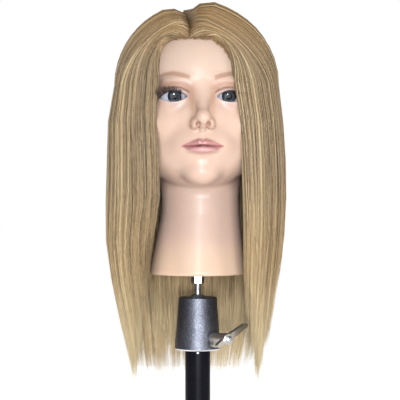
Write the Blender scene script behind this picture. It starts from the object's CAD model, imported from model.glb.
"""A hairdressing training head on its swivel-ball holder: the looks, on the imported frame, in metres."""
import math

import bmesh
import bpy
import numpy as np
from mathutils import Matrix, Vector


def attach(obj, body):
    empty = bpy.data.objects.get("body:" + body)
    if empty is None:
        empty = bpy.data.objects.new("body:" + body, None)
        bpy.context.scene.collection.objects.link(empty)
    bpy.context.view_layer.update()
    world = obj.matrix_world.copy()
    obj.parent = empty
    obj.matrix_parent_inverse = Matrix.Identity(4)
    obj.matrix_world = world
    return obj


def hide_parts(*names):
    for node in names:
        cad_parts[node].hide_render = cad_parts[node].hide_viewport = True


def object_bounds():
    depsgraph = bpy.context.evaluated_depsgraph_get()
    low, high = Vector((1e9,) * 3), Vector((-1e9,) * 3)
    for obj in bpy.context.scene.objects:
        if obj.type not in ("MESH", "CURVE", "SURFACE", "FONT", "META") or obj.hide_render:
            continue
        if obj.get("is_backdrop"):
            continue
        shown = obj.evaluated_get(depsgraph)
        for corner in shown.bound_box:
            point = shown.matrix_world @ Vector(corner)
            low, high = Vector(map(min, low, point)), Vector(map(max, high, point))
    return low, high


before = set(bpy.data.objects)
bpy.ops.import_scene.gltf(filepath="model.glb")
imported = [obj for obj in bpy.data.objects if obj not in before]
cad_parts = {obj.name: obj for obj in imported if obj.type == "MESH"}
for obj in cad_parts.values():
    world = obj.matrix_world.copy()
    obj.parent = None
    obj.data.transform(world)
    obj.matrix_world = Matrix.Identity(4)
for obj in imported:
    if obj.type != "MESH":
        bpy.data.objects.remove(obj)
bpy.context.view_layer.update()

import openvdb
from mathutils import Vector

MM = 0.001
SEED = 7
rng = np.random.default_rng(SEED)

# ---------------------------------------------------------------- camera, light and floor

SHOT_AZIMUTH = math.radians(-3.5)
SHOT_DISTANCE = 1.6
SHOT_HEIGHT = 0.244
SHOT_SHIFT = 0.0026
FIELD_WIDTH = 0.448
AMBIENT = 0.55
GLOSS_ROOM = 0.07
SENSOR = 36.0
FLOOR_REACH = (0.6, 0.5)
FLOOR_GLOW = 0.24
# for each light: its place and aim, width and height, power in watts, and its colour if it isn't white
LIGHTS = {
    "key": ((-0.20, -1.9, 0.60), (0, 0, 0.28), (1.7, 1.2), 3.8),
    "catch": ((-0.26, -1.6, 0.97), (0, 0, 0.35), (0.44, 0.34), 4.0),
    "strip": ((-0.10, -2.0, 0.36), (0, 0, 0.25), (0.12, 1.2), 22.0, (0.88, 0.94, 1.0)),
    "fill": ((1.5, -0.8, 0.5), (0, 0, 0.28), (0.4, 1.2), 6.0),
    "low": ((0.1, -1.3, 0.08), (0, 0.07, 0.12), (0.9, 0.14), 13.0),
    "back": ((-0.9, 1.5, 0.9), (0, 0, 0.3), (0.9, 1.2), 20.0),
}
# these two leave no glint on the eyes
NO_GLINT = ("strip", "low")
CORNEAS = ("cornea_right", "cornea_left")
WHITE_LIGHT = (1, 1, 1, 1)


def add_camera():
    data = bpy.data.cameras.new("camera")
    data.sensor_width = SENSOR
    data.lens = SENSOR * SHOT_DISTANCE / FIELD_WIDTH
    camera = bpy.data.objects.new("camera", data)
    bpy.context.scene.collection.objects.link(camera)
    right = Vector((math.cos(SHOT_AZIMUTH), math.sin(SHOT_AZIMUTH), 0))
    back = Vector((math.sin(SHOT_AZIMUTH), -math.cos(SHOT_AZIMUTH), 0))
    camera.location = back * SHOT_DISTANCE + right * SHOT_SHIFT + Vector((0, 0, SHOT_HEIGHT))
    camera.rotation_euler = (math.radians(90), 0, SHOT_AZIMUTH)
    bpy.context.scene.camera = camera


def add_light(name, place, aim, size, power, colour=(1, 1, 1)):
    data = bpy.data.lights.new(name, "AREA")
    data.shape = "RECTANGLE"
    data.size, data.size_y = size
    data.energy = power
    data.color = colour
    light = bpy.data.objects.new(name, data)
    bpy.context.scene.collection.objects.link(light)
    light.location = place
    light.rotation_euler = (Vector(aim) - Vector(place)).to_track_quat("-Z", "Y").to_euler()
    return light


def keep_off(light, nodes):
    """Keeps a light off some nodes, so that it leaves no glint on them."""
    group = bpy.data.collections.new(f"{light.name}_off")
    for node in nodes:
        group.objects.link(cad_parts[node])
    for entry in group.collection_objects:
        entry.light_linking.link_state = "EXCLUDE"
    light.light_linking.receiver_collection = group


def add_background(tree, strength):
    node = tree.nodes.new("ShaderNodeBackground")
    node.inputs["Color"].default_value = WHITE_LIGHT
    node.inputs["Strength"].default_value = strength
    return node


def add_world():
    """A white room: soft light on matt surfaces, dim in reflections, and plain white behind the object."""
    world = bpy.data.worlds.new("studio")
    world.use_nodes = True
    tree = world.node_tree
    last = tree.nodes["Background"]
    last.inputs["Color"].default_value = WHITE_LIGHT
    last.inputs["Strength"].default_value = AMBIENT
    sight = tree.nodes.new("ShaderNodeLightPath")
    for ray, strength in (("Is Glossy Ray", GLOSS_ROOM), ("Is Camera Ray", 1.0)):
        mix = tree.nodes.new("ShaderNodeMixShader")
        tree.links.new(sight.outputs[ray], mix.inputs[0])
        tree.links.new(last.outputs[0], mix.inputs[1])
        tree.links.new(add_background(tree, strength).outputs[0], mix.inputs[2])
        last = mix
    tree.links.new(last.outputs[0], tree.nodes["World Output"].inputs["Surface"])
    bpy.context.scene.world = world
    bpy.context.scene.view_settings.view_transform = "Standard"


def add_lights():
    for name, row in LIGHTS.items():
        light = add_light(name, *row)
        if name in NO_GLINT:
            keep_off(light, CORNEAS)


def add_floor():
    reach_x, reach_y = FLOOR_REACH
    corners = [(-reach_x, -reach_y, 0), (reach_x, -reach_y, 0), (reach_x, reach_y, 0), (-reach_x, reach_y, 0)]
    mesh = bpy.data.meshes.new("floor")
    mesh.from_pydata(corners, [], [(0, 1, 2, 3)])
    floor = bpy.data.objects.new("floor", mesh)
    bpy.context.scene.collection.objects.link(floor)
    shade = Shader("floor")
    speck = shade.spread(shade.noise(300, 3.0), 0.3, 0.7, 0, 1)
    shade.set(base=shade.mix(speck, (0.94, 0.94, 0.94), (0.96, 0.96, 0.96)), rough=0.8)
    shade.bsdf.inputs["Emission Color"].default_value = WHITE_LIGHT
    shade.bsdf.inputs["Emission Strength"].default_value = FLOOR_GLOW
    mesh.materials.append(shade.material)
    floor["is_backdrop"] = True


# ---------------------------------------------------------------- materials


class Shader:
    """A small helper for one procedural node material."""

    SOCKETS = {"base": "Base Color", "rough": "Roughness", "metal": "Metallic", "coat": "Coat Weight",
               "coat_rough": "Coat Roughness", "spec": "Specular IOR Level", "sub": "Subsurface Weight",
               "sub_scale": "Subsurface Scale"}

    def __init__(self, name):
        self.material = bpy.data.materials.new(name)
        self.material.use_nodes = True
        self.tree = self.material.node_tree
        self.bsdf = self.tree.nodes["Principled BSDF"]
        self.coords = None

    def node(self, kind, **settings):
        node = self.tree.nodes.new(kind)
        for key, value in settings.items():
            setattr(node, key, value)
        return node

    def link(self, a, b):
        self.tree.links.new(a, b)

    def plug(self, socket, value):
        """Links a socket to another one, or gives it a colour or a number."""
        if isinstance(value, bpy.types.NodeSocket):
            self.link(value, socket)
        elif isinstance(value, (tuple, list)):
            socket.default_value = (*value[:3], 1)
        else:
            socket.default_value = value

    def set(self, **values):
        for key, value in values.items():
            self.plug(self.bsdf.inputs[self.SOCKETS[key]], value)

    def position(self, scale=(1, 1, 1)):
        """Object coordinates, stretched by scale."""
        if self.coords is None:
            self.coords = self.node("ShaderNodeTexCoord").outputs["Object"]
        mapping = self.node("ShaderNodeMapping")
        mapping.inputs["Scale"].default_value = scale
        self.link(self.coords, mapping.inputs["Vector"])
        return mapping.outputs["Vector"]

    def noise(self, scale, detail=4.0, stretch=(1, 1, 1), rough=0.55, warp=0.0):
        node = self.node("ShaderNodeTexNoise")
        self.link(self.position(stretch), node.inputs["Vector"])
        node.inputs["Scale"].default_value = scale
        node.inputs["Detail"].default_value = detail
        node.inputs["Roughness"].default_value = rough
        node.inputs["Distortion"].default_value = warp
        return node.outputs["Fac"]

    def spread(self, value, low, high, to_low, to_high):
        """Carries the span from low to high over to the span from to_low to to_high."""
        node = self.node("ShaderNodeMapRange")
        for name, number in (("From Min", low), ("From Max", high), ("To Min", to_low), ("To Max", to_high)):
            node.inputs[name].default_value = number
        self.link(value, node.inputs["Value"])
        return node.outputs["Result"]

    def math(self, operation, a, b=0.0):
        node = self.node("ShaderNodeMath", operation=operation)
        self.plug(node.inputs[0], a)
        self.plug(node.inputs[1], b)
        return node.outputs[0]

    def mix(self, factor, a, b):
        node = self.node("ShaderNodeMix", data_type="RGBA")
        for index, value in ((0, factor), (6, a), (7, b)):
            self.plug(node.inputs[index], value)
        return node.outputs[2]

    def attribute(self, name, kind="Fac"):
        node = self.node("ShaderNodeAttribute")
        node.attribute_name = name
        return node.outputs[kind]

    def bump(self, height, strength, distance):
        node = self.node("ShaderNodeBump")
        node.inputs["Strength"].default_value = strength
        node.inputs["Distance"].default_value = distance
        self.link(height, node.inputs["Height"])
        self.link(node.outputs["Normal"], self.bsdf.inputs["Normal"])


def worn(name, base, other, rough, metal=0.0, grain=900.0, stretch=(1, 1, 1), depth=0.00004,
         rough_spread=0.12, **more):
    """A finish with faint mottling, pale dust, fine grain in its relief and fine scratches in its gloss."""
    shade = Shader(name)
    blotch = shade.noise(60.0, 5.0, warp=0.6)
    fine = shade.noise(grain, 3.0, stretch)
    scratch = shade.noise(grain * 0.35, 6.0, (1, 1, 14), warp=0.3)
    colour = shade.mix(shade.spread(blotch, 0.3, 0.7, 0, 1), base, other)
    dust = shade.spread(fine, 0.35, 0.75, 0.0, 0.35)
    colour = shade.mix(dust, colour, [min(1, c * 1.25 + 0.01) for c in base])
    level = shade.spread(scratch, 0.3, 0.75, max(0.02, rough - rough_spread / 2), rough + rough_spread)
    shade.set(base=colour, rough=level, metal=metal, **more)
    shade.bump(fine, 0.35, depth)
    return shade


def repaint(name, shade):
    """Puts a material on the CAD node."""
    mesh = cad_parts[name].data
    mesh.materials.clear()
    mesh.materials.append(shade.material)


def shade_smooth(mesh):
    mesh.polygons.foreach_set("use_smooth", [True] * len(mesh.polygons))


def bell(distance, width):
    return np.exp(-((distance / width) ** 2))


def soft_step(value, low, high):
    t = np.clip((value - low) / (high - low), 0, 1)
    return t * t * (3 - 2 * t)


def unit(v):
    return v / np.maximum(np.linalg.norm(v, axis=-1, keepdims=True), 1e-9)


def add_piece(name, mesh, body="head"):
    piece = bpy.data.objects.new(name, mesh)
    bpy.context.scene.collection.objects.link(piece)
    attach(piece, body)
    return piece


add_world()
add_lights()
add_floor()
add_camera()

# ---------------------------------------------------------------- the head's form

# From here on, places are in millimetres, with +X to the head's left, and each mesh turns them into metres.
# A side is -1 for the head's right and 1 for its left.
EYE = (28.9, -64.5, 354.3)
EYE_R = 16.0
IRIS_R = 7.6
# arcs seen from the front, as a centre measured from the eye's own and a radius
UPPER_LID = (0.85, -14.6, 20.0)
LOWER_LID = (2.4, 18.0, 23.8)
LID_CREASE = (0.85, -14.6, 24.0)
# the neck by height: its radius, and how far its middle stands to the back and to the head's left
NECK_R = ([161, 163.5, 182, 206, 228, 246, 270, 300], [53.4, 54.4, 51.0, 47.0, 43.8, 43.2, 45.5, 48.0])
NECK_BACK = ([161, 200, 260], [0, 0.5, 4])
NECK_ASIDE = ([161, 200, 228, 300], [0, 1.5, 3, 3])
NECK_TOP = 330
# the neck's wall slopes, so the distance to it is a little less than the distance at its own height
NECK_SLOPE = 0.97
HEAD_FOOT = 161.2
CROWN = (0, 4, 372)
CROWN_R = (73, 90, 80)
MOUTH_Z = 301.2
FIELD_CLIP = 3.0


def steps(spans):
    """Grid lines over spans of (start, end, pitch)."""
    lines = [np.arange(a, b, p) for a, b, p in spans]
    return np.concatenate([*lines, [spans[-1][1]]]).astype(np.float32)


GX = steps([(-84, -50, 2.0), (-50, 50, 0.7), (50, 84, 2.0)])
GY = steps([(-116, -40, 0.8), (-40, 100, 2.5)])
GZ = steps([(156, 256, 2.5), (256, 288, 1.2), (288, 376, 0.7), (376, 420, 1.2), (420, 462, 2.5)])
X, Y, Z = GX[:, None, None], GY[None, :, None], GZ[None, None, :]


def egg(centre, radii):
    """Signed distance to an ellipsoid, close to exact near its surface."""
    u, v, w = X - centre[0], Y - centre[1], Z - centre[2]
    a, b, c = radii
    k0 = np.sqrt((u / a) ** 2 + (v / b) ** 2 + (w / c) ** 2)
    k1 = np.sqrt((u / a**2) ** 2 + (v / b**2) ** 2 + (w / c**2) ** 2)
    return k0 * (k0 - 1) / np.maximum(k1, 1e-6)


def capsule(a, b, ra, rb):
    """Signed distance to a rod between two points, its radius going from ra to rb."""
    d = np.subtract(b, a).astype(np.float32)
    t = np.clip(((X - a[0]) * d[0] + (Y - a[1]) * d[1] + (Z - a[2]) * d[2]) / float(d @ d), 0, 1)
    reach = np.sqrt((X - a[0] - d[0] * t) ** 2 + (Y - a[1] - d[1] * t) ** 2 + (Z - a[2] - d[2] * t) ** 2)
    return reach - (ra + (rb - ra) * t)


def join(a, b, k):
    """Two shapes in one, with a rounded seam about k wide."""
    h = np.clip(0.5 + 0.5 * (b - a) / k, 0, 1)
    return b * (1 - h) + a * h - k * h * (1 - h)


def carve(a, b, k):
    """The first shape without the second, with an edge rounded by about k."""
    return -join(-a, b, k)


def both(centre, radii):
    """The nearer of an ellipsoid and its mirror image."""
    return np.minimum(egg(centre, radii), egg((-centre[0], *centre[1:]), radii))


def off_arc(arc, u, v):
    """Distance outwards from an arc, at a place measured from the eye's centre."""
    return np.hypot(u - arc[0], v - arc[1]) - arc[2]


def mouth_line(x):
    """The height of the line where the lips meet."""
    return MOUTH_Z + 0.5 * np.cos(x / 3.6) * bell(x, 9.0) - 0.0008 * x**2


def by_height(profile):
    """A profile's values at the grid's heights."""
    return np.interp(GZ, *profile)[None, None, :].astype(np.float32)


def skull():
    """The neck, the jaw, the face's main rounds and the crown."""
    reach = np.sqrt((X - by_height(NECK_ASIDE)) ** 2 + (Y - by_height(NECK_BACK)) ** 2)
    form = (reach - by_height(NECK_R)) * NECK_SLOPE
    form = np.maximum(form, Z - NECK_TOP)
    form = join(form, egg((0, -27, 295), (59, 57, 36)), 5)
    form = join(form, egg((0, -30, 328), (60, 56, 66)), 16)
    form = join(form, egg(CROWN, CROWN_R), 14)
    form = join(form, egg((0, -70, 275), (19, 19, 15)), 10)
    form = join(form, both((38, -54, 327), (19, 21, 18)), 12)
    form = join(form, both((24, -74, 371), (17, 10, 5)), 9)
    return join(form, egg((0, -73, 303), (29, 19, 19)), 12)


def with_sockets(form):
    """The eyes' sockets, then the lids' rounds over each ball."""
    form = carve(form, both((29.5, -92, 353), (17, 14, 14)), 8)
    return join(form, both(EYE, (EYE_R + 2.2,) * 3), 5)


def with_nose(form):
    form = join(form, capsule((0, -80, 362), (0, -98, 334), 4.0, 6.0), 11)
    form = join(form, egg((0, -99.5, 331.0), (8.0, 8.8, 7.4)), 5)
    form = join(form, both((9.0, -92.5, 324.8), (4.6, 8.0, 6.2)), 5)
    form = join(form, capsule((0, -102.5, 327), (0, -91, 318.5), 2.4, 3.0), 3)
    return carve(form, both((5.6, -101.0, 323.8), (2.3, 5.2, 2.9)), 1.4)


def with_mouth(form):
    """The furrow under the nose, the lips, the line between them and the hollow under them."""
    form = carve(form, capsule((0, -95.5, 316.5), (0, -99, 309), 1.7, 2.6), 3.0)
    for side in (-1, 1):
        form = join(form, capsule((side * 3.6, -93.0, 304.7), (side * 21.0, -85.2, 302.0), 3.9, 1.4), 2.0)
    form = join(form, egg((0, -92.6, 303.8), (5.0, 4.2, 3.4)), 1.6)
    form = join(form, egg((0, -86.5, 297.2), (17.5, 12.4, 5.4)), 2.4)
    slit = np.abs(Z - mouth_line(GX)[:, None, None].astype(np.float32))
    depth = 1.9 * np.exp(-(slit / 0.75) ** 2) * np.clip((23.5 - np.abs(X)) / 4, 0, 1) * (Y < -74)
    form = form + depth.astype(np.float32)
    return carve(form, egg((0, -96.5, 288.6), (13, 5.2, 3.0)), 5)


def with_lids(form):
    """The gap between the lids, the crease over them, and the room for the ball."""
    for side in (-1, 1):
        u, v = side * X - EYE[0], Z - EYE[2]
        gap = np.maximum(off_arc(UPPER_LID, u, v), off_arc(LOWER_LID, u, v))
        form = carve(form, np.maximum(gap, Y + 60), 0.9)
        crease = off_arc(LID_CREASE, u, v)
        near = np.clip((16.5 - np.abs(u - 1)) / 5, 0, 1) * (v > -2) * (Y < -62)
        form = form + (1.15 * np.exp(-(crease / 1.0) ** 2) * near).astype(np.float32)
    return carve(form, both(EYE, (EYE_R + 0.35,) * 3), 0.4)


def head_distance():
    """Signed distance to the whole head: the face, then the ears, with the neck's foot cut level."""
    form = with_lids(with_mouth(with_nose(with_sockets(skull()))))
    form = join(form, both((73, 10, 338), (5.5, 13, 26)), 5)
    form = np.maximum(form, HEAD_FOOT - Z)
    return form.astype(np.float32)


def surface(distance, lines, name):
    """The zero surface of a distance field on a grid, as a mesh object in metres."""
    grid = openvdb.FloatGrid(FIELD_CLIP)
    grid.copyFromArray(np.clip(distance, -FIELD_CLIP, FIELD_CLIP))
    points, quads = grid.convertToQuads(0.0)
    spots = np.stack([np.interp(points[:, k], np.arange(len(lines[k])), lines[k]) for k in range(3)], axis=1)
    mesh = bpy.data.meshes.new(name)
    mesh.from_pydata((spots * MM).tolist(), [], quads[:, ::-1].tolist())
    mesh.validate()
    shade_smooth(mesh)
    return add_piece(name, mesh), spots


def paint(mesh, name, values):
    layer = mesh.attributes.new(name, "FLOAT", "POINT")
    layer.data.foreach_set("value", np.ascontiguousarray(values, np.float32))


def tone(code):
    """A linear colour from its usual six-digit code."""
    parts = np.array([int(code[k:k + 2], 16) for k in (0, 2, 4)]) / 255
    return np.where(parts <= 0.04045, parts / 12.92, ((parts + 0.055) / 1.055) ** 2.4)


def tint(colours, amount, code):
    """Mixes a colour into rows of colours by amount."""
    return colours + (tone(code) - colours) * np.clip(amount, 0, 1)[:, None]


def paint_colour(mesh, name, values):
    layer = mesh.attributes.new(name, "FLOAT_COLOR", "POINT")
    rows = np.concatenate([values, np.ones((len(values), 1))], axis=1)
    layer.data.foreach_set("color", rows.astype(np.float32).ravel())


head, spots = surface(head_distance(), (GX, GY, GZ), "head_surface")
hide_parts("head_skin", "head_foam", "neck_foam")


# ---------------------------------------------------------------- the face's colouring

# the hairline's height across the forehead, the brows' middle height and half-width, and the skin's depth
HAIRLINE = ([-60, -48, -44, -30, 10, 22, 28.5, 34, 45], [350, 404, 416, 418.5, 417.5, 408, 398, 382, 345])
BROW_ARCH = ([12, 20, 31.5, 40, 48, 56], [372.8, 376.2, 379.0, 378.2, 375.0, 370.5])
BROW_HALF = ([12, 30, 45, 56], [2.5, 2.4, 1.5, 0.6])
SKIN_DEPTH = 0.69


def plain_tones(x, z, front):
    """The skin's ground colour, paler on the forehead, pinker down the neck and yellower at its foot."""
    c = np.repeat(tone("D5B6A4")[None, :], len(x), axis=0)
    c = tint(c, 0.55 * bell(z - 395, 34) * front, "DCC8B6")
    c = tint(c, 0.45 * bell(np.hypot(x - 42, (z - 322) * 0.8), 20) * front, "D3B49F")
    c = tint(c, 0.75 * soft_step(268 - z, 0, 20) * soft_step(z, 180, 215), "C8AEA0")
    c = tint(c, 0.8 * soft_step(205 - z, 0, 30), "D9BCA2")
    return c * (1 + 0.35 * soft_step(x, 22, 44) * soft_step(264 - z, 0, 14))[:, None]


def shade_hollows(c, x, y, z, u, v, front):
    """The shading beside the nose, round the eyes and in the nostrils."""
    c = tint(c, 0.55 * bell(x - 10.8, 4.2) * bell(z - 346, 20) * (y < -72), "A87A54")
    c = tint(c, 0.55 * bell(np.hypot(x - 15.5, (z - 362) * 0.8), 7.5) * front, "A4765C")
    c = tint(c, 0.80 * bell(np.hypot((u - 3) / 2.1, v - 12.5), 5.6) * front, "A9806C")
    c = tint(c, 0.70 * bell(np.hypot(u - 17, v - 7), 9) * front, "8E5E4C")
    c = tint(c, 0.45 * bell(np.hypot((u + 1) / 2.6, v + 9.5), 4.0) * front, "B9A0A0")
    c = tint(c, 0.25 * bell(np.hypot(x - 13.5, z - 322), 3.2) * front, "A87450")
    return tint(c, 0.80 * bell(np.hypot(x - 5.6, (z - 324.2) * 0.8), 1.9) * (y < -88), "8E5C46")


def shade_lids(c, u, v, front):
    """The pale lid, the crease over it, the dark line along its edge, and the pale rim below."""
    upper, lower = off_arc(UPPER_LID, u, v), off_arc(LOWER_LID, u, v)
    along = soft_step(17.5 - np.abs(u - 0.8), 0, 3)
    c = tint(c, 0.6 * bell(upper - 2.3, 1.15) * (v > -3) * along * front, "B8ACB4")
    c = tint(c, 0.90 * bell(upper - 4.4, 0.9) * (v > -1) * along * front, "7C5244")
    c = tint(c, 0.97 * bell(upper - 0.4, 1.0) * (v > -3.5) * soft_step(u, -17, -4) * front, "1E1414")
    return tint(c, 0.70 * bell(lower - 0.5, 0.7) * (v < 0) * along * front, "C2B4BC")


def shade_brows(c, x, z, front):
    inside = np.interp(x, *BROW_HALF) + 0.9 - np.abs(z - np.interp(x, *BROW_ARCH))
    brow = soft_step(inside, 0, 1.5) * soft_step(x, 11.5, 14.5) * soft_step(57 - x, 0, 5)
    return tint(c, 0.62 * brow * front, "A07458")


def lip_cover(x, y, z):
    """How much of each point is lip, from 0 to 1."""
    bow = 308.7 - 1.5 * bell(x, 1.6) - 7.6 * np.clip((x - 3.7) / 20, 0, 1) ** 1.35
    foot = 293.0 + 7.8 * np.clip(x / 22.5, 0, 1) ** 2.1
    between = soft_step(bow - z, -0.4, 0.9) * soft_step(z - foot, -0.4, 0.9)
    return between * soft_step(24.5 - x, 0, 2) * (y < -78)


def shade_lips(c, x, y, z, lips, front):
    c = tint(c, 0.9 * lips, "B67A7C")
    c = tint(c, 0.6 * lips * bell(x, 14) * soft_step(301 - z, 0, 3), "DDB0AE")
    c = tint(c, 0.75 * bell(z - mouth_line(x), 0.8) * soft_step(24 - x, 0, 3) * (y < -76), "9A5450")
    return tint(c, 0.28 * bell(np.hypot(x / 1.6, z - 288.5), 5) * front, "B98A6E")


def shade_scalp(c, p):
    """The scalp under the hair, with a broken edge along the forehead."""
    side, y, z = p[:, 0], p[:, 1], p[:, 2]
    edge = np.interp(side, *HAIRLINE) + 1.2 * np.sin(side * 1.7) + 0.9 * np.sin(side * 4.1)
    hidden = soft_step(z - edge, -1.5, 3.0) * soft_step(-y, -10, 20)
    hidden = np.maximum(hidden, soft_step(y, -45, -25) * soft_step(z, 280, 300))
    return tint(c, 0.95 * hidden, "86643A")


def skin_colours(p):
    """The painted colour at each point of the head, and how much of the point is lip."""
    x, y, z = np.abs(p[:, 0]), p[:, 1], p[:, 2]
    u, v = x - EYE[0], z - EYE[2]
    front = soft_step(-y, 45, 70)
    lips = lip_cover(x, y, z)
    c = shade_hollows(plain_tones(x, z, front), x, y, z, u, v, front)
    c = shade_brows(shade_lids(c, u, v, front), x, z, front)
    c = shade_scalp(shade_lips(c, x, y, z, lips, front), p)
    return SKIN_DEPTH * c, lips


shades, lips = skin_colours(spots)
paint_colour(head.data, "tone", shades)
paint(head.data, "lips", lips)


def skin_material():
    shade = Shader("skin")
    mottle = shade.spread(shade.noise(45, 5.0, warp=0.4), 0.3, 0.7, 0.0, 0.10)
    pores = shade.noise(1500, 2.0)
    soft = shade.noise(160, 3.0)
    colour = shade.mix(mottle, shade.attribute("tone", "Color"), (0.72, 0.40, 0.28))
    colour = shade.mix(shade.spread(pores, 0.3, 0.8, 0.0, 0.05), colour, (0.45, 0.28, 0.20))
    gloss = shade.spread(shade.attribute("lips"), 0, 1, 0.40, 0.22)
    gloss = shade.math("ADD", gloss, shade.spread(soft, 0.3, 0.7, -0.04, 0.05))
    shade.set(base=colour, rough=gloss, spec=0.35, sub=0.12, sub_scale=0.004, coat=0.12, coat_rough=0.18)
    shade.bsdf.inputs["Subsurface Radius"].default_value = (1.0, 0.45, 0.25)
    shade.bump(shade.math("ADD", pores, soft), 0.12, 0.00012)
    return shade


head.data.materials.append(skin_material().material)


# ---------------------------------------------------------------- fibres: lashes and hair


def lay_out(mesh, count, length):
    """A layout for baking: one small box for each fibre, with its three sides next to each other."""
    columns = int(math.ceil(math.sqrt(count)))
    box_u = (np.arange(count) % columns) / columns
    box_v = (np.arange(count) // columns) / columns
    size = 0.9 / columns
    side = np.arange(3)
    low = np.arange(length - 1) / (length - 1)
    high = low + 1 / (length - 1)
    corner_u = np.stack([side, side + 1, side + 1, side], axis=-1) / 3
    corner_v = np.stack([low, low, high, high], axis=-1)
    uv = np.empty((count, length - 1, 3, 4, 2))
    uv[..., 0] = box_u[:, None, None, None] + size * corner_u[None, None, :, :]
    uv[..., 1] = box_v[:, None, None, None] + size * corner_v[None, :, None, :]
    ends = np.empty((2, count, 3, 2))
    ends[..., 0] = box_u[None, :, None] + size * np.array([0.0, 0.3, 0.6])[None, None, :]
    ends[0, ..., 1] = box_v[:, None] + size * np.array([0.0, 0.01, 0.0])[None, :]
    ends[1, ..., 1] = box_v[:, None] + size * np.array([1.0, 0.99, 1.0])[None, :]
    layout = mesh.uv_layers.new(name="OFBake")
    layout.uv.foreach_set("vector", np.concatenate([uv.reshape(-1), ends.reshape(-1)]).astype(np.float32))


def fibres(name, lines, radii, outward, colours, material, flat=0.6):
    """One mesh of tapered three-sided fibres. lines is (fibre, step, 3) in mm, and radii (fibre, step)."""
    count, length = radii.shape
    along = unit(np.gradient(lines, axis=1))
    across = unit(np.cross(along, outward))
    out = np.cross(across, along)
    turns = np.radians([90, 210, 330])
    ring = lines[:, :, None, :] + radii[:, :, None, None] * (
        np.cos(turns)[None, None, :, None] * across[:, :, None, :]
        + flat * np.sin(turns)[None, None, :, None] * out[:, :, None, :])
    first = (np.arange(count) * length * 3)[:, None, None] + (np.arange(length - 1) * 3)[None, :, None]
    k = np.arange(3)[None, None, :]
    nxt = (k + 1) % 3
    quads = np.stack([first + k, first + nxt, first + 3 + nxt, first + 3 + k], axis=-1).reshape(-1, 4)
    start = np.arange(count) * length * 3
    caps = np.concatenate([np.stack([start + 2, start + 1, start], 1),
                           np.stack([start + length * 3 - 3 + j for j in range(3)], 1)])
    mesh = bpy.data.meshes.new(name)
    mesh.from_pydata((ring.reshape(-1, 3) * MM).tolist(), [], quads.tolist() + caps.tolist())
    shade_smooth(mesh)
    paint_colour(mesh, "tone", np.repeat(colours.reshape(-1, 3), 3, axis=0))
    lay_out(mesh, count, length)
    mesh.materials.append(material.material)
    return add_piece(name, mesh)


def same_for_all(profile, length, count):
    """The same taper for each of a number of fibres, from (place, radius) lists."""
    return np.repeat(np.interp(np.linspace(0, 1, length), *profile)[None, :], count, axis=0)


def lash_material():
    shade = Shader("lash_fibre")
    streak = shade.spread(shade.noise(700, 3.0), 0.3, 0.7, 0, 1)
    shade.set(base=shade.mix(streak, shade.attribute("tone", "Color"), (0.05, 0.03, 0.025)), rough=0.45)
    return shade


LASHES, LASH_STEPS, TUFTS = 150, 7, 26
LASH_ROOT_R = 20.2
LASH_TAPER = ([0, 0.6, 1], [0.30, 0.22, 0.04])


def add_lashes(side, name, material, scale):
    """The upper lashes: longer and more slanted towards the eye's outer corner, and drawn into tufts."""
    place = np.sort(rng.uniform(0, 1, LASHES)) ** 0.8
    turn = np.radians(np.interp(place, [0, 1], [112, 36]))
    u, v = UPPER_LID[0] + LASH_ROOT_R * np.cos(turn), UPPER_LID[1] + LASH_ROOT_R * np.sin(turn)
    y = EYE[1] - np.sqrt(np.maximum((EYE_R + 2.0) ** 2 - u**2 - v**2, 20))
    root = np.stack([side * (EYE[0] + u), y, EYE[2] + v], axis=1)
    tuft = np.round(place * TUFTS) / TUFTS - place
    reach = np.interp(place, [0, 0.35, 0.75, 1], [2.6, 5.4, 8.6, 7.4]) * rng.uniform(0.8, 1.1, LASHES) * scale
    lean = np.interp(place, [0, 1], [-0.15, 0.95]) + rng.normal(0, 0.05, LASHES) + tuft * 6
    t = np.linspace(0, 1, LASH_STEPS)[None, :, None]
    flat = np.ones(LASHES)
    first = unit(np.stack([side * lean * 0.7, -0.95 * flat, 0.55 * flat], axis=1))[:, None, :]
    last = unit(np.stack([side * lean, -0.35 * flat, 1.0 * flat], axis=1))[:, None, :]
    lines = root[:, None, :] + reach[:, None, None] * (first * t * (1 - t * 0.6) + last * t**1.6 * 0.8)
    radii = same_for_all(LASH_TAPER, LASH_STEPS, LASHES)
    colours = np.repeat(np.repeat(tone("20120E")[None, None, :], LASH_STEPS, 1), LASHES, 0)
    outward = np.zeros_like(lines) + np.array([0, -1.0, 0.3])
    piece = fibres(f"lash_fibres_{name}", lines, radii, outward, colours, material, flat=1.0)
    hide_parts(f"lashes_{name}")


lash_shade = lash_material()
add_lashes(-1, "right", lash_shade, 1.0)
add_lashes(1, "left", lash_shade, 0.3)

# the hair's outer form by height: half-width on each side, half-depth, centre, and thickness
RISE = [30, 45, 66, 90, 107, 141, 172, 201, 245, 282, 331, 372]
WIDE = {-1: [70.0, 73.5, 76.5, 81.0, 85.5, 93.0, 98.0, 101.5, 101.5, 100.5, 99.3, 92.5],
        1: [66.0, 69.0, 74.0, 80.5, 83.0, 88.0, 93.5, 97.0, 99.5, 99.2, 96.0, 91.0]}
DEEP_Z = [30, 100, 170, 245, 300, 372]
DEEP = [73, 77, 82, 88, 94, 99]
CENTRE_Y = [6, 8, 8, 10, 10, 7]
THICK = [4, 12, 26, 28, 26, 11]
DOME_Z, DOME_HIGH = 372.0, 93.0
# the hair's edge beside the face, in degrees from straight ahead, by height
EDGE = {-1: ([60, 177, 244, 300, 372], [35, 33, 27, 28.5, 32.5]),
        1: ([60, 103, 140, 177, 265, 319, 372], [39, 37, 33, 31, 28, 27, 22.6])}
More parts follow.
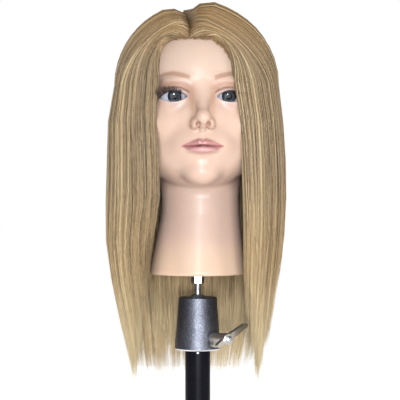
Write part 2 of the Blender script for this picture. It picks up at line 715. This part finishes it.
# where the front-most hairs start, and the bend they take, on a unit dome
ROOT = {-1: (-0.47, -0.71, 0.525), 1: (0.15, -0.84, 0.53)}
BEND = {-1: (-0.555, -0.78, 0.30), 1: (0.40, -0.85, 0.42)}
LIFT = {-1: (-0.50, -0.58, 0.80), 1: (0.35, -0.76, 0.74)}
FRONT_SHARE = 0.10
# the height of the lowest tips, by share: 0 beside the face and 1 at the back
TIPS = {-1: ([0, 0.03, 0.09, 0.18, 0.24, 0.3, 0.41, 0.55, 0.75, 1],
             [180, 160, 113, 68, 38, 48, 60, 48, 40, 40]),
        1: ([0, 0.04, 0.09, 0.127, 0.17, 0.21, 0.26, 0.41, 0.55, 0.75, 1],
            [132, 106, 62, 40, 48, 62, 80, 70, 54, 40, 40])}
# the shares at which dark grooves part the locks
GROOVES = {-1: (0.055, 0.17, 0.33), 1: (0.075, 0.19, 0.36)}
# the hanging hair stays outside this radius, so that the holder turns and tips inside it
CLEAR_R = 70.8
CLEAR_BELOW = 170
CLEAR_FROM, CLEAR_FULL = 235, 175
STEPS_UP, STEPS_DOWN = 12, 7


def fall_point(side, share, layer, z):
    """A point of the hanging hair: share runs from the face's edge to the back, and layer outwards."""
    edge = np.interp(z, *EDGE[side])
    turn = np.radians(edge + (180 - edge) * share)
    wide = np.interp(z, RISE, WIDE[side])
    deep, centre = np.interp(z, DEEP_Z, DEEP), np.interp(z, DEEP_Z, CENTRE_Y)
    inset = (1 - layer) * np.interp(z, DEEP_Z, THICK) * (0.15 + 0.85 * soft_step(share, 0, 0.16))
    x = side * (wide - inset) * np.sin(turn)
    y = centre - (deep - inset) * np.cos(turn)
    reach = np.hypot(x, y)
    low = np.clip((CLEAR_FROM - z) / (CLEAR_FROM - CLEAR_FULL), 0, 1)
    push = 1 + low * (np.maximum(reach, CLEAR_R + 3 * layer) / reach - 1)
    return np.stack([x * push, y * push, z], axis=-1)


def dome_point(side, share, layer, t):
    """A point of the hair on the crown: t runs from the parting to the start of the fall."""
    q = np.clip((share - FRONT_SHARE) / 0.52, 0, 1) ** 0.85
    rise = np.radians(32 + 63 * q)
    part = unit(np.stack([-0.15 - 0.01 * q, -np.cos(rise), np.sin(rise)], axis=-1))
    near = (1 - soft_step(share, 0.0, FRONT_SHARE))[..., None]
    part = unit(part + (np.array(ROOT[side]) - part) * near)
    edge = EDGE[side][1][-1]
    turn = np.radians(edge + (180 - edge) * share)
    rim = np.stack([side * np.sin(turn), -np.cos(turn), 0 * turn], axis=-1)
    middle = 2 * unit(part + rim) - 0.5 * (part + rim)
    close = (1 - soft_step(share, FRONT_SHARE, 0.32))[..., None]
    bend = np.array(LIFT[side]) + (np.array(BEND[side]) - np.array(LIFT[side])) * near
    middle = middle + (bend - middle) * close
    ease = soft_step(t, 0.0, 0.14)
    puff = 2.4 * bell(t - 0.13, 0.13) * (side > 0)
    t = t[..., None]
    way = unit((1 - t) ** 2 * part + 2 * t * (1 - t) * middle + t**2 * rim)
    scalp = 6 + 6 * soft_step(way[..., 2], 0.5, 1.0)
    inset = scalp * (1 - ease) + (1 - layer) * THICK[-1] * ease - puff
    radii = np.stack([WIDE[side][-1] - inset, DEEP[-1] - inset, DOME_HIGH - inset], axis=-1)
    return way * radii + np.array([0, CENTRE_Y[-1], DOME_Z])


def hair_lines(side, share, layer, drift, reach, swing, wave):
    """The paths of a set of hairs, as (hair, step, 3), and the outward direction at each step."""
    share, layer, drift, reach, swing = (values[:, None] for values in (share, layer, drift, reach, swing))
    up = np.linspace(0.0, 1, STEPS_UP)[None, :]
    down = np.linspace(0, 1, STEPS_DOWN + 1)[None, 1:]
    dome = dome_point(side, share + 0 * up, layer + 0 * up, up + 0 * share)
    z = DOME_Z - (DOME_Z - reach) * down
    share_down = np.clip(share + drift * down**1.5, 0, 1.04)
    fall = fall_point(side, share_down, layer + 0 * down, z)
    lines = np.concatenate([dome, fall], axis=1)
    out = lines - np.array([0, 8.0, 0])
    out[..., 2] *= 0.15
    out = unit(out)
    level = unit(np.cross(out, [0, 0, 1.0]))
    t = np.linspace(0, 1, lines.shape[1])[None, :]
    sway = np.sin(2 * np.pi * (t * wave[:, 0, None] + wave[:, 1, None])) * swing * t
    lift = np.sin(2 * np.pi * (t * wave[:, 2, None] + wave[:, 3, None])) * swing * 0.6 * t
    lines = lines + level * sway[..., None] + out * lift[..., None]
    radius = np.hypot(lines[..., 0], lines[..., 1])
    grow = np.where(lines[..., 2] < CLEAR_BELOW, np.maximum(radius, CLEAR_R) / radius, 1)
    lines[..., 0] *= grow
    lines[..., 1] *= grow
    return lines, out


HAIR_TONES = {"ash": "92795C", "crown": "A47C48", "fall": "BE9B69", "tips": "EFDAB0", "parting": "7A5630",
              "pale": "E8CFA0", "dark": "443220"}


def hair_colours(lines, lot, layer, dark):
    """Dark at the parting, golden on the crown, ash in the middle and pale at the ends.

    Each hair's lot, from 0 to 1, makes it darker or paler. The inner hairs behind the neck are paler still.
    """
    count, length = lines.shape[:2]
    y, z = lines[..., 1].reshape(-1), lines[..., 2].reshape(-1)
    along = np.repeat(np.linspace(0, 1, length)[None, :], count, axis=0).reshape(-1)
    lot, depth, dark = (np.repeat(values[:, None], length, 1).reshape(-1) for values in (lot, layer, dark))
    c = np.repeat(tone(HAIR_TONES["ash"])[None, :], len(z), axis=0)
    c = tint(c, soft_step(z, 385, 450), HAIR_TONES["crown"])
    c = tint(c, 0.8 * soft_step(300 - z, 0, 150), HAIR_TONES["fall"])
    c = tint(c, 0.95 * soft_step(180 - z, 0, 105), HAIR_TONES["tips"])
    c = tint(c, 0.75 * (1 - soft_step(along, 0.0, 0.13)), HAIR_TONES["parting"])
    c = tint(c, np.clip(lot - 0.56, 0, 1) * 2.6, HAIR_TONES["pale"])
    c = tint(c, np.clip(0.46 - lot, 0, 1) * 3.0 * soft_step(z, 50, 180), HAIR_TONES["dark"])
    outer = 0.51 + 0.24 * np.clip(depth, 0, 1)
    c = c * (outer * (1 - 0.40 * dark * soft_step(z, 90, 220)))[:, None]
    behind = soft_step(y, 25, 60) * soft_step(230 - z, 0, 60)
    return (c * (1 + 1.05 * behind * (1.1 - depth))[:, None]).reshape(count, length, 3)


def hair_material():
    shade = Shader("hair")
    streak = shade.noise(420, 4.0, (1, 1, 0.05))
    fine = shade.noise(2600, 2.0, (1, 1, 0.04))
    dull = shade.spread(streak, 0.32, 0.68, 0.0, 0.22)
    colour = shade.mix(dull, shade.attribute("tone", "Color"), (0.20, 0.13, 0.07))
    colour = shade.mix(shade.spread(fine, 0.4, 0.75, 0.0, 0.24), colour, (0.84, 0.68, 0.42))
    shade.set(base=colour, rough=shade.spread(streak, 0.3, 0.7, 0.36, 0.52), spec=0.32)
    shade.bump(fine, 0.25, 0.00006)
    return shade


# hairs to a clump, how far they lie from its middle, in share, and how far they draw in at the tips
CLUMP = 26
CLUMP_SPREAD = 0.016
CLUMP_DRAW = 0.008
GROOVE_WIDTH = 0.010
STRAY_PART = 0.02
HAIR_R = (0.24, 0.44)
HAIR_TAPER = ([0, 0.1, 0.7, 0.93, 1], [0.7, 1, 1, 0.6, 0.06])


def draw_waves(clumps, pick):
    """A sideways and an outward wave for each hair, as (turns, start) pairs, alike within a clump."""
    columns = []
    for least, most in ((0.5, 1.6), (0.6, 1.8)):
        columns.append(rng.uniform(least, most, clumps)[pick])
        columns.append(rng.random(clumps)[pick] + rng.normal(0, 0.03, len(pick)))
    return np.stack(columns, axis=1)


def add_hair(side, name, place, low, high, count, material):
    """One section of hair, from the parting to its tips, in clumps that draw together at the ends."""
    clumps = count // CLUMP
    clump_share = low + (high - low) * (np.arange(clumps) + rng.uniform(-0.9, 1.9, clumps)) / clumps
    clump_layer = rng.beta(2.2, 1.3, clumps) * 1.02
    pick = rng.integers(0, clumps, count)
    pull = rng.normal(0, 1, count)
    share = np.clip(clump_share[pick] + pull * CLUMP_SPREAD, 0, 1.03)
    drift = -pull * CLUMP_DRAW + rng.normal(0, 0.012, clumps)[pick]
    layer = np.clip(clump_layer[pick] + rng.normal(0, 0.10, count), 0, 1.03)
    dark = sum(bell(share - groove, GROOVE_WIDTH) for groove in GROOVES[side])
    layer = layer * (1 - 0.35 * dark)
    tip = np.interp(share, *TIPS[side]) + rng.exponential(9, clumps)[pick] + rng.exponential(13, count)
    swing = rng.uniform(0.2, 1.1, clumps)[pick] + rng.exponential(0.25, count)
    stray = rng.random(count) < STRAY_PART
    swing = np.where(stray, swing + 2.2, swing)
    lines, out = hair_lines(side, share, layer, drift, tip, swing, draw_waves(clumps, pick))
    thick = rng.uniform(*HAIR_R, count) * np.where(stray, 0.5, 1)
    taper = np.interp(np.linspace(0, 1, lines.shape[1]), *HAIR_TAPER)
    lot = rng.random(clumps)[pick] * 0.5 + rng.random(count) * 0.5
    piece = fibres(f"hair_{place}_{name}_fibres", lines, thick[:, None] * taper[None, :], out,
                   hair_colours(lines, lot, layer, dark), material)
    return piece


hair_shade = hair_material()
# for each section of a side: its first and last share and its number of hairs, and the CAD nodes it replaces
SECTIONS = {"front": (0.0, 0.20, 1750), "temple": (0.20, 0.42, 1650), "side": (0.42, 0.70, 1650),
            "back": (0.70, 1.0, 1650)}
OLD = {"front": ["hair_front_{}"], "temple": [], "side": ["hair_side_{}", "hair_crown"],
       "back": ["hair_back_{}"]}
for side, name in ((-1, "right"), (1, "left")):
    for place, (low, high, count) in SECTIONS.items():
        piece = add_hair(side, name, place, low, high, count, hair_shade)
        for node in OLD[place]:
            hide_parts(node.format(name))


ROOTS, ROOT_STEPS = 1500, 6
ROOT_TAPER = ([0, 0.6, 1], [0.20, 0.16, 0.03])


def add_roots():
    """Short fine hairs along the forehead's edge, swept up and away from the parting."""
    edge = np.interp(spots[:, 0], *HAIRLINE)
    band = (np.abs(spots[:, 2] - edge) < 2.8) & (spots[:, 1] < -50) & (np.abs(spots[:, 0]) < 47)
    picks = spots[rng.choice(np.flatnonzero(band), ROOTS)] + rng.normal(0, 0.4, (ROOTS, 3))
    out = unit((picks - np.array(CROWN)) / np.array(CROWN_R) ** 2)
    away = np.clip((picks[:, 0] + 13) / 14, -1, 1) + rng.normal(0, 0.25, ROOTS)
    way = np.stack([away, np.full(ROOTS, 0.3), 1.1 - 0.9 * np.abs(away)], axis=1)
    way = unit(way - out * np.sum(way * out, axis=1, keepdims=True))
    t = np.linspace(0, 1, ROOT_STEPS)[None, :, None]
    reach = rng.uniform(5, 13, ROOTS)[:, None, None]
    lines = picks[:, None, :] + reach * (way[:, None, :] * t + out[:, None, :] * 0.30 * np.sin(t * 2.4))
    radii = same_for_all(ROOT_TAPER, ROOT_STEPS, ROOTS)
    shades = np.where(rng.random(ROOTS)[:, None, None] < 0.5, tone("6E4C2A"), tone("94703F"))
    shades = shades + np.zeros((ROOTS, ROOT_STEPS, 3))
    outward = np.repeat(out[:, None, :], ROOT_STEPS, axis=1)
    piece = fibres("hairline_fibres", lines, radii, outward, shades, hair_shade)


add_roots()


NIB_PLACE = (-1.4, -25.6, 75.6)
NIB_R = 1.5


def add_nib():
    """The small drop of metal left on the housing's lower rim."""
    mesh = bpy.data.meshes.new("rim_nib")
    form = bmesh.new()
    bmesh.ops.create_uvsphere(form, u_segments=20, v_segments=12, radius=NIB_R * MM)
    bmesh.ops.scale(form, vec=(1.1, 0.7, 1.0), verts=form.verts)
    bmesh.ops.translate(form, vec=Vector(NIB_PLACE) * MM, verts=form.verts)
    form.to_mesh(mesh)
    form.free()
    shade_smooth(mesh)
    mesh.materials.append(ALUMINIUM.material)
    add_piece("rim_nib", mesh, "stand")


# ---------------------------------------------------------------- the CAD nodes' finishes

CHROME = worn("bright_chrome", (0.62, 0.63, 0.66), (0.54, 0.55, 0.58), 0.34, 1.0)
ZINC = worn("zinc_steel", (0.60, 0.61, 0.62), (0.50, 0.51, 0.53), 0.34, 1.0)
NICKEL = worn("dark_nickel", (0.66, 0.62, 0.56), (0.52, 0.48, 0.43), 0.40, 1.0, grain=1400)
ALUMINIUM = worn("machined_aluminium", (0.78, 0.78, 0.78), (0.66, 0.66, 0.67), 0.25, 1.0, stretch=(1, 1, 25))
BRASS = worn("brass", (0.72, 0.50, 0.22), (0.60, 0.40, 0.16), 0.30, 1.0)
NYLON = worn("white_nylon", (0.80, 0.79, 0.74), (0.72, 0.70, 0.64), 0.5)
PHENOLIC = worn("black_phenolic", (0.06, 0.06, 0.065), (0.08, 0.08, 0.085), 0.22, spec=0.9, coat=0.5)
PLASTIC = worn("black_plastic", (0.030, 0.030, 0.031), (0.045, 0.044, 0.043), 0.5, grain=1600)
POLE = worn("black_gloss_paint", (0.002, 0.002, 0.004), (0.004, 0.004, 0.007), 0.30, spec=0.05, grain=500,
            depth=0.00001)


def powder_coat():
    """Dark grey powder coat, with its fine orange-peel texture and metallic flecks."""
    shade = Shader("grey_powder_coat")
    peel = shade.noise(1100, 3.0)
    flecks = shade.noise(1300, 2.0)
    patch = shade.noise(70, 4.0)
    colour = shade.mix(shade.spread(patch, 0.3, 0.7, 0, 1), (0.075, 0.078, 0.095), (0.10, 0.105, 0.13))
    colour = shade.mix(shade.spread(flecks, 0.52, 0.68, 0, 0.6), colour, (0.42, 0.44, 0.52))
    shade.set(base=colour, rough=shade.spread(peel, 0.3, 0.7, 0.35, 0.47), metal=0.9, spec=0.5)
    shade.bump(shade.math("ADD", peel, flecks), 0.8, 0.00022)
    return shade


def eye_white():
    shade = Shader("eye_white")
    veins = shade.noise(420, 6.0, warp=1.6)
    cloud = shade.noise(120, 3.0)
    colour = shade.mix(shade.spread(cloud, 0.3, 0.7, 0, 1), (0.30, 0.31, 0.38), (0.38, 0.38, 0.44))
    colour = shade.mix(shade.spread(veins, 0.62, 0.72, 0, 0.22), colour, (0.70, 0.42, 0.40))
    shade.set(base=colour, rough=0.12, spec=0.6, coat=0.5)
    return shade


def iris_material():
    """Blue-grey fibres round a dark pupil, with a dark outer ring."""
    shade = Shader("eye_iris")
    split = shade.node("ShaderNodeSeparateXYZ")
    shade.link(shade.position(), split.inputs[0])
    across = shade.math("SUBTRACT", shade.math("ABSOLUTE", split.outputs[0]), EYE[0] * MM)
    above = shade.math("SUBTRACT", split.outputs[2], EYE[2] * MM)
    square = shade.math("ADD", shade.math("MULTIPLY", across, across), shade.math("MULTIPLY", above, above))
    radius = shade.math("DIVIDE", shade.math("SQRT", square), IRIS_R * MM)
    angle = shade.math("ARCTAN2", above, across)
    polar = shade.node("ShaderNodeCombineXYZ")
    shade.link(shade.math("MULTIPLY", angle, 9.0), polar.inputs[0])
    shade.link(shade.math("MULTIPLY", radius, 2.0), polar.inputs[1])
    rays = shade.node("ShaderNodeTexNoise")
    shade.link(polar.outputs[0], rays.inputs["Vector"])
    rays.inputs["Scale"].default_value = 1.6
    rays.inputs["Detail"].default_value = 5.0
    fibre = shade.spread(rays.outputs["Fac"], 0.35, 0.68, 0, 1)
    colour = shade.mix(fibre, (0.045, 0.06, 0.08), (0.25, 0.31, 0.38))
    colour = shade.mix(shade.spread(radius, 0.40, 0.62, 0.75, 0.0), colour, (0.07, 0.075, 0.085))
    colour = shade.mix(shade.spread(radius, 0.66, 0.90, 0.0, 0.98), colour, (0.008, 0.011, 0.018))
    colour = shade.mix(shade.spread(radius, 0.42, 0.46, 1.0, 0.0), colour, (0.002, 0.002, 0.003))
    shade.set(base=colour, rough=0.9, spec=0.0)
    return shade


# stronger than a real eye's, so that the glint shows
CORNEA_IOR = 2.2


def cornea_material():
    """Clear plastic: the iris shows through it, and it keeps a sharp gloss."""
    shade = Shader("eye_clear")
    tiny = shade.noise(300, 2.0)
    shade.set(base=(1, 1, 1), rough=shade.spread(tiny, 0.3, 0.7, 0.02, 0.05), metal=1.0)
    clear = shade.node("ShaderNodeBsdfTransparent")
    edge = shade.node("ShaderNodeFresnel")
    edge.inputs["IOR"].default_value = CORNEA_IOR
    mix = shade.node("ShaderNodeMixShader")
    shade.link(edge.outputs[0], mix.inputs[0])
    shade.link(clear.outputs[0], mix.inputs[1])
    shade.link(shade.bsdf.outputs[0], mix.inputs[2])
    shade.link(mix.outputs[0], shade.tree.nodes["Material Output"].inputs["Surface"])
    return shade


COAT, WHITE, IRIS, GLASS = powder_coat(), eye_white(), iris_material(), cornea_material()
FINISH = {
    "pole_tube": POLE, "pole_plug": ZINC, "anchor_screw": ZINC, "housing_base": ALUMINIUM, "housing": COAT,
    "grub_screws": ZINC, "upper_seat": NYLON, "clamp_boss": NICKEL, "boss_washer": CHROME, "lock_pin": NICKEL,
    "gimbal_ring": BRASS, "cross_pin": ZINC, "wedge_piston": NYLON, "thrust_pad": BRASS, "clamp_screw": ZINC,
    "clamp_lever": NICKEL, "lever_washer": CHROME, "lever_screw": CHROME, "swivel_ball": PHENOLIC,
    "ball_stud": CHROME, "jam_nut": CHROME, "plug_washer": CHROME, "holder_plug": PLASTIC, "top_washer": ZINC,
    "top_nut": ZINC, "neck_socket": PLASTIC, "base_plate": PLASTIC,
    "eyeball_right": WHITE, "eyeball_left": WHITE, "iris_right": IRIS, "iris_left": IRIS,
    "cornea_right": GLASS, "cornea_left": GLASS,
}
for node, shade in FINISH.items():
    repaint(node, shade)
add_nib()

low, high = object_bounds()
